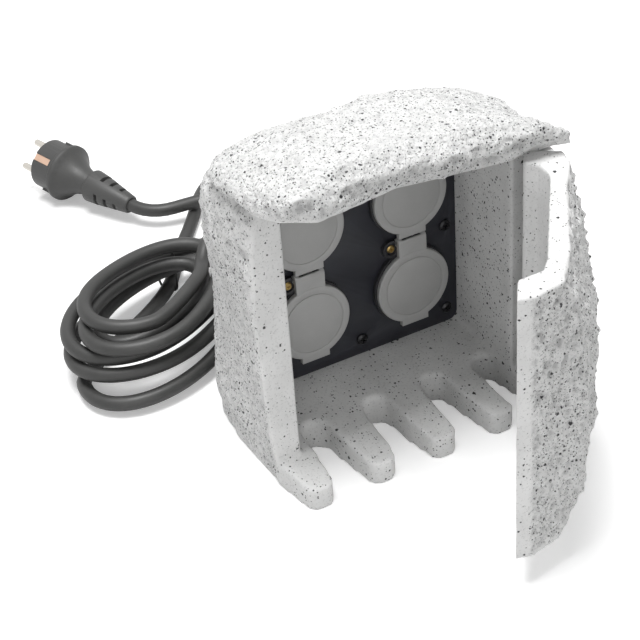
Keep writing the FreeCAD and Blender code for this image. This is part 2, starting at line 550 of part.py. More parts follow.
def tube(points, radius, name=""):
    """Round tube along straight runs joined by tangent arcs, and the least radius of its bends."""
    knots = [Vec(*p) for p in points]
    edges = []
    here = knots[0]
    least = 1e9
    for before, corner, after in zip(knots, knots[1:], knots[2:]):
        run_in = corner - before
        run_out = after - corner
        reach = BEND_SHARE * min(run_in.Length, run_out.Length)
        into = Vec(run_in).normalize()
        out = Vec(run_out).normalize()
        half_turn = into.getAngle(out) / 2
        bend_r = reach / math.tan(half_turn)
        least = min(least, bend_r)
        first = corner - into * reach
        last = corner + out * reach
        middle_dir = (out - into).normalize()
        depth = bend_r / math.cos(half_turn) - bend_r
        edges.append(Part.LineSegment(here, first).toShape())
        edges.append(Part.Arc(first, corner + middle_dir * depth, last).toShape())
        here = last
    edges.append(Part.LineSegment(here, knots[-1]).toShape())
    wire = Part.Wire(edges)
    direction = (knots[1] - knots[0]).normalize()
    circle = Part.Wire(Part.Circle(knots[0], direction, radius).toShape())
    solid = wire.makePipeShell([circle], True, False)
    if name:
        print(name, "length", round(wire.Length, 1), "least bend radius", round(least, 1),
              "volume ratio", round(solid.Volume / (wire.Length * math.pi * radius ** 2), 4))
    return solid


BUSH_END_Y = CUP_BACK_Y + BUSH_LENGTH
LOOP_Y = {"brown": 39.4, "blue": 42.6, "green_yellow": 45.8}
CORE_SIDE = {"brown": 9.5, "blue": -9.5, "green_yellow": 0.0}


def core_wires(colour):
    """One colour of core: from the terminal block to the two lower sockets, then on to the upper two."""
    runs = []
    x_block, dx, y_loop = CORE_XS[colour], CORE_SIDE[colour], LOOP_Y[colour]
    y_end = CORE_BACK_Y if colour == "green_yellow" else BUSH_END_Y
    z_drop = {"brown": 0.0, "blue": 0.0, "green_yellow": -4.0}[colour]
    for sign in (-1, 1):
        x = sign * COLUMN_X + dx
        low, high = ROW_Z["lower"] + z_drop, ROW_Z["upper"] + z_drop
        y_high = min(y_loop, 40.2)
        runs.append(tube(((x, y_end, low + 1.5), (x, y_loop, low + 1.5), (x + 0.4, y_loop - 0.2, low + 12),
                          (x, y_high, high - 14), (x, y_high - 0.2, high - 1.5), (x, y_end, high - 1.5)),
                         CORE_R))
    return runs


CORE_ENTRY = {
    "green_yellow": ((12, 53, 11), (40, 53, 13), (46, 56, 18.4), (46, 60, 18.4)),
    "blue": ((0, 52.5, 11), (0, 54, 16.5), (37, 54, 18.5), (43.8, 56.5, 22.2), (43.8, 60, 22.2)),
    "brown": ((-12, 52.5, 11), (-12, 54, 21.5), (39, 54, 27), (46.2, 54.4, 24.0), (46.2, 60, 24.0)),
}
for colour, x0 in CORE_XS.items():
    z0 = hatch_top + 7
    entry = tube(((x0, 43.0, z0),) + CORE_ENTRY[colour], CORE_R)
    feed = tube(((x0, 41.0, z0), (x0, 28.0, z0), (x0, 26.0, z0 + 8), (x0, 26.0, z0 + 22)), CORE_R)
    export("core_" + colour, group([entry, feed] + core_wires(colour)))


# Cable gland low at the back, with the tapered bend protector
def hexagon(across, start, axis, length):
    """Six-sided bar."""
    corner_r = across / math.sqrt(3)
    points = [Vec(corner_r * math.cos(math.radians(60 * i)), corner_r * math.sin(math.radians(60 * i)), 0)
              for i in range(6)]
    bar = Part.Face(Part.makePolygon(points + [points[0]])).extrude(Vec(0, 0, length))
    bar.Placement = FreeCAD.Placement(Vec(*start), FreeCAD.Rotation(Z_AXIS, axis))
    return bar


def on_gland(y):
    """Point of the gland's axis."""
    return (GLAND_X, y, GLAND_Z)


GLAND_SHANK_R = 10.0
NUT_T = 5.5
FLANGE_T = 5.0
DOME_Y = GLAND_FACE_Y + FLANGE_T
body = hexagon(26, on_gland(GLAND_FACE_Y), Y_AXIS, FLANGE_T)
shank_y = GLAND_POCKET_Y - NUT_T - 2.0
body = body.fuse([rod(on_gland(shank_y), Y_AXIS, GLAND_SHANK_R, GLAND_FACE_Y - shank_y),
                  rod(on_gland(DOME_Y), Y_AXIS, 10.5, 8.0)])
body = body.cut([rod(on_gland(60), Y_AXIS, CABLE_R + 0.3, 60),
                 rod(on_gland(DOME_Y + 1.0), Y_AXIS, 8.0, 10.0)])
export("gland_body", body)
nut = hexagon(25, on_gland(GLAND_POCKET_Y - NUT_T), Y_AXIS, NUT_T)
export("gland_nut", nut.cut(rod(on_gland(60), Y_AXIS, GLAND_SHANK_R, 20)))
seal = rod(on_gland(DOME_Y + 1.0), Y_AXIS, 7.9, 7.5)
export("gland_seal", seal.cut(rod(on_gland(60), Y_AXIS, CABLE_R, 60)))
dome = turned(((0, 10.6), (0, 13.5), (8, 13.5), (11, 12.0), (13.5, 9.0), (13.5, 8.3), (9, 8.3), (9, 10.6)),
              on_gland(DOME_Y), Y_AXIS)
export("gland_dome_nut", dome)
protector = turned(((8.6, CABLE_R + 0.3), (8.6, 8.2), (13.5, 8.2), (16, 8.0), (PROTECTOR_END_Y - DOME_Y, 5.9),
                    (PROTECTOR_END_Y - DOME_Y, CABLE_R + 0.3)), on_gland(DOME_Y), Y_AXIS)
export("bend_protector", protector)
LEAD_START_Y = 112.0
export("cable_end", rod(on_gland(60.0), Y_AXIS, CABLE_R, LEAD_START_Y - 60.0))

# Lead: first stretch, coil, last stretch
COIL_CENTRE = (-74.0, 122.0)
COIL_HALF = (88.0, 34.0)
COIL_TILT = 38.0
COIL_PITCH = 11.3
COIL_LAYER = 10.0
COIL_Z = 6.0
COIL_TURNS = 5.5
COIL_LAYERS = 4
TURNS_PER_LAYER = 1.5
FIRST_PHASE = 90.0
SHARP_SHARE = 0.6
CLIMB_HALF_TURN = 0.25
coil_cos = math.cos(math.radians(COIL_TILT))
coil_sin = math.sin(math.radians(COIL_TILT))


def coil_place(along, across, z):
    """Place given along and across the coil's long axis."""
    return Vec(COIL_CENTRE[0] + coil_cos * along - coil_sin * across,
               COIL_CENTRE[1] + coil_sin * along + coil_cos * across, z)


def coil_knot(turn):
    """One quarter-turn knot: its place, its direction, and half the coil's width where its end is sharp."""
    fold = turn / TURNS_PER_LAYER
    layer = float(math.floor(fold))
    part = fold - layer
    spiralling_in = layer % 2 == 0
    inward = TURNS_PER_LAYER * (part if spiralling_in else 1 - part)
    rate = 1.0 if spiralling_in else -1.0
    nearest = round(fold)
    off = (turn - nearest * TURNS_PER_LAYER) / CLIMB_HALF_TURN
    climb_rate = 0.0
    if 0 < nearest < COIL_LAYERS and abs(off) < 1.01:
        layer = nearest - 0.5 + 0.5 * off
        if abs(off) < 0.5:
            climb_rate = 0.5 / CLIMB_HALF_TURN
            rate = 0.0
    angle = math.radians(FIRST_PHASE + 360 * turn)
    half_a = COIL_HALF[0] - inward * COIL_PITCH
    half_b = COIL_HALF[1] - inward * COIL_PITCH
    shrink = rate * COIL_PITCH / (2 * math.pi)
    along = -half_a * math.sin(angle) - shrink * math.cos(angle)
    across = half_b * math.cos(angle) - shrink * math.sin(angle)
    heading = coil_place(along, across, 0) - coil_place(0, 0, 0)
    heading.z = climb_rate * COIL_LAYER / (2 * math.pi)
    place = coil_place(half_a * math.cos(angle), half_b * math.sin(angle), COIL_Z + layer * COIL_LAYER)
    sharp = half_b if abs(math.cos(angle)) > 0.5 else 0.0
    return place, heading.normalize(), sharp


def arc_to(start, corner, end):
    """Arc that leaves a start towards a corner and arrives at an end from it."""
    middle = (start + end) * 0.5
    toward = corner - middle
    half = (end - start).Length / 2
    rise = half * math.tan(math.atan2(toward.Length, half) / 2)
    return Part.Arc(start, middle + Vec(toward).normalize() * rise, end).toShape()


def biarc(knot, after):
    """Two arcs that join two knots smoothly, the tighter arc at the coil's sharp end."""
    p0, t0, sharp0 = knot
    p1, t1, sharp1 = after
    chord = p1 - p0
    closing = 2 * (1 - t0.dot(t1))
    if sharp0:
        reach0 = SHARP_SHARE * sharp0
        reach1 = (chord.dot(chord) - 2 * reach0 * chord.dot(t0)) / (2 * chord.dot(t1) + closing * reach0)
    else:
        reach1 = SHARP_SHARE * sharp1
        reach0 = (chord.dot(chord) - 2 * reach1 * chord.dot(t1)) / (2 * chord.dot(t0) + closing * reach1)
    first = p0 + t0 * reach0
    last = p1 - t1 * reach1
    join = first + (last - first) * (reach0 / (reach0 + reach1))
    return [arc_to(p0, first, join), arc_to(join, last, p1)]


def least_gap(edges):
    """Smallest clear distance between stretches of the coil that are over 40 mm apart along it."""
    samples = []
    walked = 0.0
    for edge in edges:
        steps = max(2, int(edge.Length / 3.0))
        span = edge.LastParameter - edge.FirstParameter
        for k in range(steps):
            place = edge.valueAt(edge.FirstParameter + span * k / steps)
            samples.append((walked + edge.Length * k / steps, place))
        walked += edge.Length
    nearest = min((pa - pb).Length for i, (sa, pa) in enumerate(samples)
                  for sb, pb in samples[i + 1:] if sb - sa > 40.0)
    return nearest - 2 * CABLE_R


knots = [coil_knot(0.25 * k) for k in range(int(COIL_TURNS * 4) + 1)]
coil_in_dir, coil_out_dir = knots[0][1], knots[-1][1]
coil_in = knots[0][0] - coil_in_dir * 2 * CABLE_R
coil_out = knots[-1][0] + coil_out_dir * 2 * CABLE_R
coil_edges = [Part.LineSegment(coil_in, knots[0][0]).toShape()]
for knot, after in zip(knots, knots[1:]):
    coil_edges += biarc(knot, after)
coil_edges.append(Part.LineSegment(knots[-1][0], coil_out).toShape())
coil_wire = Part.Wire(coil_edges)
coil_circle = Part.Wire(Part.Circle(coil_in, coil_in_dir, CABLE_R).toShape())
coil = coil_wire.makePipeShell([coil_circle], True, False)
print("cord_coil length", round(coil_wire.Length, 1), "least gap", round(least_gap(coil_edges), 2),
      "volume ratio", round(coil.Volume / (coil_wire.Length * math.pi * CABLE_R ** 2), 4))
export("cord_coil", coil)

# Plug: the axis runs from the strain relief's end to the face with the pins
PLUG_FACE = Vec(-67.5, 341.1, 24.0)
RELIEF_END = Vec(-36.6, 264.7, 14.2)
plug_axis = (PLUG_FACE - RELIEF_END).normalize()
pin_side = Vec(13.2, 4.3, 14.4)
pin_side = (pin_side - plug_axis * pin_side.dot(plug_axis)).normalize()
contact_side = plug_axis.cross(pin_side)
plug_placement = FreeCAD.Placement(PLUG_FACE, FreeCAD.Rotation(pin_side, contact_side, plug_axis, "ZXY"))
PLUG_R = 18.0
COLLAR_R = 20.8
COLLAR_S = (-22.5, -18.5)
PLUG_BACK_S = -45.0
PLUG_NECK_R = 8.6
PIN_R = 2.4
PIN_LENGTH = 19.0
RELIEF_LENGTH = (PLUG_FACE - RELIEF_END).Length + PLUG_BACK_S
STRIP_DEPTH = 2.0
STRIP_LENGTH = 15.0
GUIDE_RIB = {"half_width": 2.2, "height": 1.4, "front_s": -8.0}


def place_on_plug(shape):
    """Sets a shape that was drawn about the plug's own axis in its place."""
    shape.Placement = plug_placement
    return shape


def plug_body():
    """Moulded body: round front with two guide ribs, collar and a bell that draws in to the neck."""
    front = ((0, 0), (0, PLUG_R - 1), (-1, PLUG_R), (COLLAR_S[1], PLUG_R))
    collar = ((COLLAR_S[1], COLLAR_R - 0.8), (COLLAR_S[1] - 0.8, COLLAR_R), (COLLAR_S[0] + 1.0, COLLAR_R),
              (COLLAR_S[0], COLLAR_R - 0.8))
    bell = ((COLLAR_S[0] - 2.0, COLLAR_R - 3.4), (COLLAR_S[0] - 6.0, 14.2), (COLLAR_S[0] - 11.0, 11.2),
            (COLLAR_S[0] - 16.5, 9.3), (PLUG_BACK_S, PLUG_NECK_R), (PLUG_BACK_S, 0))
    body = turned(front + collar + bell, (0, 0, 0), Z_AXIS)
    rib_r = PLUG_R + GUIDE_RIB["height"]
    rib_y = (-GUIDE_RIB["half_width"], GUIDE_RIB["half_width"])
    body = body.fuse([box((-rib_r, 1 - PLUG_R), rib_y, (COLLAR_S[1], GUIDE_RIB["front_s"])),
                      box((PLUG_R - 1, rib_r), rib_y, (COLLAR_S[1], GUIDE_RIB["front_s"]))])
    cutters = []
    for side in (-1, 1):
        y = sorted((side * (PLUG_R - STRIP_DEPTH), side * (PLUG_R + 2)))
        cutters.append(box((-2.6, 2.6), y, (-STRIP_LENGTH, 1)))
        cutters.append(rod((side * PIN_PITCH / 2, 0, -8), Z_AXIS, PIN_R, 10))
    return body.cut(cutters)


def plug_pins():
    """Two round pins with rounded tips."""
    profile = ((-8, 0), (-8, PIN_R), (PIN_LENGTH - 1.6, PIN_R), (PIN_LENGTH - 0.5, PIN_R * 0.75),
               (PIN_LENGTH, PIN_R * 0.35), (PIN_LENGTH, 0))
    return group([turned(profile, (side * PIN_PITCH / 2, 0, 0), Z_AXIS) for side in (-1, 1)])


def plug_earth_contacts():
    """Two flat strips in the body's side grooves."""
    strips = []
    for side in (-1, 1):
        y = sorted((side * (PLUG_R - STRIP_DEPTH), side * (PLUG_R - STRIP_DEPTH + 0.8)))
        strips.append(box((-2.4, 2.4), y, (-STRIP_LENGTH, -0.6)))
    return group(strips)


RELIEF_R = (11.9, 6.5)
RELIEF_CORE_R = CABLE_R + 0.7
SLOT_PLACES = (11.0, 19.0, 27.0)
SLOT_WIDTH = 2.6


def plug_strain_relief():
    """Tapered neck with slots from both sides that let it bend."""
    profile = ((0, 0), (0, RELIEF_R[0] - 1), (1, RELIEF_R[0]), (SLOT_PLACES[0], RELIEF_R[0] - 1),
               (RELIEF_LENGTH - 1, RELIEF_R[1]), (RELIEF_LENGTH, RELIEF_R[1] - 0.8), (RELIEF_LENGTH, 0))
    relief = turned([(PLUG_BACK_S - s, r) for s, r in profile], (0, 0, 0), Z_AXIS)
    slots = []
    for place in SLOT_PLACES:
        along = (PLUG_BACK_S - place - SLOT_WIDTH, PLUG_BACK_S - place)
        across = (-RELIEF_R[0], RELIEF_R[0])
        slots += [box((RELIEF_CORE_R, RELIEF_R[0] + 1), across, along),
                  box((-RELIEF_R[0] - 1, -RELIEF_CORE_R), across, along)]
    return relief.cut(slots)


export("plug_body", place_on_plug(plug_body()))
export("plug_pins", place_on_plug(plug_pins()))
export("plug_earth_contacts", place_on_plug(plug_earth_contacts()))
export("plug_strain_relief", place_on_plug(plug_strain_relief()))

# Routes of the two stretches outside the coil; each meets the coil along the coil's own direction
lead_in = coil_in - coil_in_dir * 26
tail_out = coil_out + coil_out_dir * 40
relief_out = RELIEF_END - plug_axis * 18
LEAD_POINTS = [(46, LEAD_START_Y, GLAND_Z), (46, 146, 20), (58, 180, 9), (84, 208, 4.8), (98, 244, 4.8),
               (82, 278, 4.8), (48, 290, 4.8), (18, 268, 4.8), (-6, 232, 4.8), (-32, 200, 5.2),
               tuple(lead_in), tuple(coil_in)]
TAIL_POINTS = [tuple(coil_out), tuple(tail_out), (22, 160, 36), (50, 184, 32), (58, 212, 24), (36, 235, 15),
               (6, 240.5, 14.6), tuple(relief_out), tuple(RELIEF_END)]
print("lead route", [tuple(round(c, 1) for c in p) for p in LEAD_POINTS])
print("tail route", [tuple(round(c, 1) for c in p) for p in TAIL_POINTS])
export("cord_lead", tube(LEAD_POINTS, CABLE_R, "cord_lead"))
export("cord_tail", tube(TAIL_POINTS, CABLE_R, "cord_tail"))

# Tie round the coil's back strands, a flat band
TIE_ALONG = (43.0, 47.0)
TIE_ACROSS = (12.6, 40.2)
TIE_Z = (1.1, 41.2)
TIE_T = 1.0


def tie_block(along, across, z):
    """Block square to the coil's long axis."""
    block = box(along, across, z)
    block.rotate(Vec(0, 0, 0), Z_AXIS, COIL_TILT)
    block.translate(Vec(COIL_CENTRE[0], COIL_CENTRE[1], 0))
    return block


outer_across = (TIE_ACROSS[0] - TIE_T, TIE_ACROSS[1] + TIE_T)
band = tie_block(TIE_ALONG, outer_across, (TIE_Z[0] - TIE_T, TIE_Z[1] + TIE_T))
export("cable_tie", band.cut(tie_block((TIE_ALONG[0] - 1, TIE_ALONG[1] + 1), TIE_ACROSS, TIE_Z)))
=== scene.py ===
import itertools
import math
import bmesh
import bpy
import numpy as np
from mathutils import Matrix, Vector


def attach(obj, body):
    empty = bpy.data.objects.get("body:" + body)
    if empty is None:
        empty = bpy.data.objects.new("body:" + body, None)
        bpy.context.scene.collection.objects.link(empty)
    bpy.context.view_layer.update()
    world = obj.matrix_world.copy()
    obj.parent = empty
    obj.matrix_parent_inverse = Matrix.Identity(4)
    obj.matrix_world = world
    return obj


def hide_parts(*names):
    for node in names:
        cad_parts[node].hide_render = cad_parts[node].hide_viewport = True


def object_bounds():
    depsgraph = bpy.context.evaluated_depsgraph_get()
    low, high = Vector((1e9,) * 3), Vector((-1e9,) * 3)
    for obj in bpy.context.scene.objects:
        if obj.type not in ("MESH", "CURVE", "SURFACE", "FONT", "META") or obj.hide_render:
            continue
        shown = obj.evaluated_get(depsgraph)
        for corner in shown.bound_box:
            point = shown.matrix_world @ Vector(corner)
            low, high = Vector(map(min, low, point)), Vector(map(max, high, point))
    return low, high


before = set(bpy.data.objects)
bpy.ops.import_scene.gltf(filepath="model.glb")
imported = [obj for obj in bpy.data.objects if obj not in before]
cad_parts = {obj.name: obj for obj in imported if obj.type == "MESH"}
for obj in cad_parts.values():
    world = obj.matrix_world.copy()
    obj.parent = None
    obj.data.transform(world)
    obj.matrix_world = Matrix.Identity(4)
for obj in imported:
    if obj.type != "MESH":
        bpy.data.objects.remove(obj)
cad_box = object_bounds()

# Camera: stands before the open cavity, to its left and above it, and looks down at it.
# Its lens is long, so that upright edges stay nearly parallel.
camera_place = Vector((-0.3904, -0.7043, 0.6018))
camera_turn, camera_tilt, camera_roll = math.radians(-27.10), math.radians(34.27), math.radians(-4.34)
focal_in_pixels, picture_pixels, sensor_mm = 1669.4, 640, 36.0
back = Vector((math.sin(camera_turn) * math.cos(camera_tilt), -math.cos(camera_turn) * math.cos(camera_tilt),
               math.sin(camera_tilt)))
level_right = Vector((math.cos(camera_turn), math.sin(camera_turn), 0.0))
level_up = back.cross(level_right)
right = math.cos(camera_roll) * level_right + math.sin(camera_roll) * level_up
up = math.cos(camera_roll) * level_up - math.sin(camera_roll) * level_right
camera = bpy.data.objects.new("camera", bpy.data.cameras.new("camera"))
camera.data.sensor_width = sensor_mm
camera.data.lens = sensor_mm * focal_in_pixels / picture_pixels
camera.matrix_world = Matrix.Translation(camera_place) @ Matrix((right, up, back)).transposed().to_4x4()
bpy.context.scene.collection.objects.link(camera)
bpy.context.scene.camera = camera
bpy.context.scene.view_settings.view_transform = "Standard"


# Lead: one round rubber cable. It leaves the bend protector behind the boulder, sweeps round on the ground
# into a loose coil of more than five turns at the left, and runs back to its moulded plug.
MM = 1000.0
CABLE_R = 0.0046
LEAD_OUT = ((46, 124, 21), (46, 146, 20), (58, 180, 9), (84, 208, 4.8), (98, 244, 4.8), (82, 278, 4.8),
            (48, 290, 4.8), (18, 268, 4.8), (-6, 232, 4.8), (-32, 200, 4.8), (-60, 156, 4.8))
TAIL_OUT = ((-56, 105, 47.5), (-50, 118, 46), (-37, 133, 56.5), (0, 147, 35), (22, 160, 36), (50, 184, 32),
            (58, 212, 24), (36, 235, 15), (6, 241, 15), (-30, 248, 12), (-36.6, 264.7, 14.2))
# Each loop's middle, half length to the left and to the right, half width and tilt, in order along the lead
LOOPS = ((-86, 109, 70, 104, 42, 36), (-93, 115, 56, 95, 46, 26), (-95, 117, 53, 83, 36, 24),
         (-78, 124, 45, 35, 22, 32), (-101, 103, 49, 73, 39, 32), (-92, 111, 35, 66, 30, 30))
TURN_HEIGHT = (5, 16, 30.5, 22.5, 35, 46.5, 43)
COIL_TURNS = (0.12, 5.42)
POINTS_PER_TURN = 16


def coil_points(turns):
    """Loose loops in millimetres: two half ellipses joined at their widest, tilted in plan. The sizes pass
    from one loop to the next in the course of a turn, and so does the height."""
    middle_turns = np.arange(len(LOOPS)) + 0.5
    middle_x, middle_y, to_left, to_right, half_width, tilt = (
        np.interp(turns, middle_turns, sizes) for sizes in zip(*LOOPS))
    angle = math.pi / 2 + 2 * math.pi * turns
    along = np.where(np.cos(angle) < 0, to_left, to_right) * np.cos(angle)
    across = half_width * np.sin(angle)
    tilt = np.radians(tilt)
    x = middle_x + np.cos(tilt) * along - np.sin(tilt) * across
    y = middle_y + np.sin(tilt) * along + np.cos(tilt) * across
    return np.stack([x, y, np.interp(turns, np.arange(len(TURN_HEIGHT)), TURN_HEIGHT)], axis=1)


coil_turns = np.linspace(*COIL_TURNS, int((COIL_TURNS[1] - COIL_TURNS[0]) * POINTS_PER_TURN) + 1)
route = np.vstack([LEAD_OUT, coil_points(coil_turns), TAIL_OUT]) / MM
lead_curve = bpy.data.curves.new("lead_cable", "CURVE")
lead_curve.dimensions = "3D"
lead_curve.bevel_depth = CABLE_R
lead_curve.bevel_resolution = 6
lead_curve.resolution_u = 6
spline = lead_curve.splines.new("NURBS")
spline.points.add(len(route) - 1)
spline.points.foreach_set("co", np.hstack([route, np.ones((len(route), 1))]).ravel())
spline.order_u = 3
spline.use_endpoint_u = True
lead = bpy.data.objects.new("lead_cable", lead_curve)
bpy.context.scene.collection.objects.link(lead)


def add_node(tree, kind, settings=(), **inputs):
    """New shader node with its settings; each input is a value, or the socket that feeds it.
    An input is named by its label with spaces as underscores, or as i0, i1 and so on by its number."""
    made = tree.nodes.new(kind)
    for key, value in dict(settings).items():
        setattr(made, key, value)
    for key, value in inputs.items():
        numbered = key[0] == "i" and key[1:].isdigit()
        socket = made.inputs[int(key[1:]) if numbered else key.replace("_", " ")]
        if isinstance(value, bpy.types.NodeSocket):
            tree.links.new(value, socket)
        else:
            socket.default_value = value
    return made


def new_group(name, inputs, outputs):
    """Empty shader node group with named inputs and outputs, and its two end nodes."""
    group = bpy.data.node_groups.new(name, "ShaderNodeTree")
    for label, kind, value in inputs:
        socket = group.interface.new_socket(label, in_out="INPUT", socket_type="NodeSocket" + kind)
        if value is not None:
            socket.default_value = value
    for label, kind in outputs:
        group.interface.new_socket(label, in_out="OUTPUT", socket_type="NodeSocket" + kind)
    return group, group.nodes.new("NodeGroupInput"), group.nodes.new("NodeGroupOutput")


def surface_wear():
    """Fine grain and soft blotches of a moulded surface: noise at two sizes gives a height, a shade that
    darkens or lightens the colour a little, and a change of roughness."""
    group, start, end = new_group(
        "surface_wear",
        (("Vector", "Vector", None), ("Grain Size", "Float", 0.0006), ("Blotch Size", "Float", 0.02),
         ("Shade", "Float", 0.1)),
        (("Height", "Float"), ("Shade", "Float"), ("Roughness", "Float")))
    per_grain = add_node(group, "ShaderNodeMath", {"operation": "DIVIDE"}, i0=1.0,
                         i1=start.outputs["Grain Size"])
    per_blotch = add_node(group, "ShaderNodeMath", {"operation": "DIVIDE"}, i0=1.0,
                          i1=start.outputs["Blotch Size"])
    grain = add_node(group, "ShaderNodeTexNoise", Vector=start.outputs["Vector"], Scale=per_grain.outputs[0],
                     Detail=3.0)
    blotch = add_node(group, "ShaderNodeTexNoise", Vector=start.outputs["Vector"],
                      Scale=per_blotch.outputs[0], Detail=4.0, Roughness=0.6)
    both = add_node(group, "ShaderNodeMath", {"operation": "MULTIPLY_ADD"}, i0=grain.outputs[0], i1=0.35,
                    i2=blotch.outputs[0])
    low = add_node(group, "ShaderNodeMath", {"operation": "SUBTRACT"}, i0=1.0, i1=start.outputs["Shade"])
    high = add_node(group, "ShaderNodeMath", {"operation": "ADD"}, i0=1.0, i1=start.outputs["Shade"])
    shade = add_node(group, "ShaderNodeMapRange", Value=both.outputs[0], From_Min=0.4, From_Max=0.95,
                     To_Min=low.outputs[0], To_Max=high.outputs[0])
    rough = add_node(group, "ShaderNodeMapRange", Value=blotch.outputs[0], From_Min=0.3, From_Max=0.7,
                     To_Min=-0.07, To_Max=0.07)
    group.links.new(grain.outputs[0], end.inputs["Height"])
    group.links.new(shade.outputs[0], end.inputs["Shade"])
    group.links.new(rough.outputs[0], end.inputs["Roughness"])
    return group


wear_group = surface_wear()


def moulded(name, colour, roughness, metallic=0.0, grain=0.0006, blotch=0.02, shade=0.1, bump=0.00004):
    """Material of one colour with the shared grain and blotches: the colour times the shade, the roughness
    plus its change, and the grain's height as a bump."""
    material = bpy.data.materials.new(name)
    material.use_nodes = True
    tree = material.node_tree
    shader = tree.nodes["Principled BSDF"]
    place = tree.nodes.new("ShaderNodeTexCoord")
    wear = add_node(tree, "ShaderNodeGroup", {"node_tree": wear_group}, Vector=place.outputs["Object"],
                    Grain_Size=grain, Blotch_Size=blotch, Shade=shade)
    tinted = add_node(tree, "ShaderNodeVectorMath", {"operation": "SCALE"}, i0=colour,
                      Scale=wear.outputs["Shade"])
    rough = add_node(tree, "ShaderNodeMath", {"operation": "ADD", "use_clamp": True}, i0=roughness,
                     i1=wear.outputs["Roughness"])
    relief = add_node(tree, "ShaderNodeBump", Height=wear.outputs["Height"], Distance=bump)
    tree.links.new(tinted.outputs[0], shader.inputs["Base Color"])
    tree.links.new(rough.outputs[0], shader.inputs["Roughness"])
    tree.links.new(relief.outputs[0], shader.inputs["Normal"])
    shader.inputs["Metallic"].default_value = metallic
    return material


def dress(material, *names):
    """Gives a material to every slot of the named solids."""
    for name in names:
        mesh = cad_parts[name].data
        mesh.materials.clear()
        mesh.materials.append(material)


cable_rubber = moulded("cable_rubber", (0.035, 0.035, 0.034), 0.5, grain=0.0008, blotch=0.012, shade=0.18)
lead_curve.materials.append(cable_rubber)
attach(lead, "base")
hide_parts("cord_lead", "cord_coil", "cord_tail")
dress(cable_rubber, "cable_end")


# Boulder: one cast shell of pale speckled resin. Its outside is broken like split stone, and the cavity,
# the bands beside it and the comb of teeth below are smooth from the mould.
BODY_VOXEL = 0.0017
BIG_CHIP, SMALL_CHIP = 11.0, 4.6
# Places of the solid's smooth faces, in millimetres
PIVOT_X, PIVOT_Y = 78.2, -57.0
BAND_Y, CAVITY_BACK_Y = -51.0, 6.0
# Limits of the cavity at its front and at its back: left, right, bottom and top
CAVITY_LIMITS = ((-74.1, -68.0), (67.0, 67.6), (17.9, 23.6), (180.8, 163.0))
PANEL_SEAT_Y, CHAMBER_HALF_WIDTH, CHAMBER_Y, CHAMBER_TOP_Z = 12.0, 53.0, (8.0, 64.0), 144.0
SEAT_HALF_SIZE, SEAT_MIDDLE_Y, SEAT_TOP_Z = (59.0, 30.0), 41.0, 5.0
GLAND_X, GLAND_Z, GLAND_SPACE_R, GLAND_Y = 46.0, 21.0, 19.0, 54.0
COMB_MIDDLE_X, COMB_HALF_WIDTH, COMB_BACK_Y, COMB_TOP_Z = 4.0, 87.0, -26.0, 24.0


def settle(mesh, points):
    """Writes points in millimetres back into a mesh."""
    mesh.vertices.foreach_set("co", (points / MM).ravel())
    mesh.update()


def even_copy(name, voxel):
    """New object with the solid's surface redrawn in even small faces, and its points in millimetres."""
    piece = bpy.data.objects.new(name + "_stone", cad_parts[name].data.copy())
    bpy.context.scene.collection.objects.link(piece)
    work = bmesh.new()
    work.from_mesh(piece.data)
    bmesh.ops.remove_doubles(work, verts=work.verts, dist=1e-6)
    work.to_mesh(piece.data)
    work.free()
    remesh = piece.modifiers.new("even", "REMESH")
    remesh.mode = "VOXEL"
    remesh.voxel_size = voxel
    even = bpy.data.meshes.new_from_object(piece.evaluated_get(bpy.context.evaluated_depsgraph_get()))
    piece.modifiers.clear()
    piece.data = even
    points = np.empty(len(even.vertices) * 3)
    even.vertices.foreach_get("co", points)
    return piece, points.reshape(-1, 3) * MM


def relaxed(mesh, values, rounds, share=0.5):
    """Each value moves towards the mean of its neighbours along the mesh's edges, for some rounds."""
    edges = np.empty(len(mesh.edges) * 2, dtype=np.int64)
    mesh.edges.foreach_get("vertices", edges)
    a, b = edges[0::2], edges[1::2]
    table = values.reshape(len(values), -1).copy()
    count = np.bincount(edges, minlength=len(table))[:, None]
    for _ in range(rounds):
        total = np.stack([np.bincount(a, table[b, k], len(table)) + np.bincount(b, table[a, k], len(table))
                          for k in range(table.shape[1])], axis=1)
        table += share * (total / count - table)
    return table.reshape(values.shape)


def faired(mesh, points, rounds):
    """Smoothed points that keep their volume: each round moves them towards their neighbours by one half,
    and then away by a little more."""
    for _ in range(rounds):
        points = relaxed(mesh, points, 1, 0.5)
        points = relaxed(mesh, points, 1, -0.53)
    return points


def normals_of(mesh):
    """Unit normals at the points."""
    normals = np.empty(len(mesh.vertices) * 3)
    mesh.vertices.foreach_get("normal", normals)
    return normals.reshape(-1, 3)


def cell_random(cells, seed):
    """Repeatable number from 0 to 1 for each whole-number cell: its indices mixed by products and xor."""
    c = cells.astype(np.int64)
    mixed = c[:, 0] * 374761393 + c[:, 1] * 668265263 + c[:, 2] * 1440662683 + seed * 1274126177
    mixed = (mixed ^ (mixed >> 13)) * 1103515245
    return ((mixed ^ (mixed >> 16)) & 0xFFFFFF) / float(0xFFFFFF)


def soft_noise(points, size, seed):
    """Noise from -1 to 1: random values at lattice corners, blended by 3t^2 - 2t^3 along each axis."""
    q = points / size
    low = np.floor(q)
    t = q - low
    t = t * t * (3 - 2 * t)
    total = np.zeros(len(q))
    for corner in itertools.product((0, 1), repeat=3):
        weight = np.prod(np.where(np.array(corner) > 0, t, 1 - t), axis=1)
        total += weight * cell_random(low + corner, seed)
    return 2 * total - 1


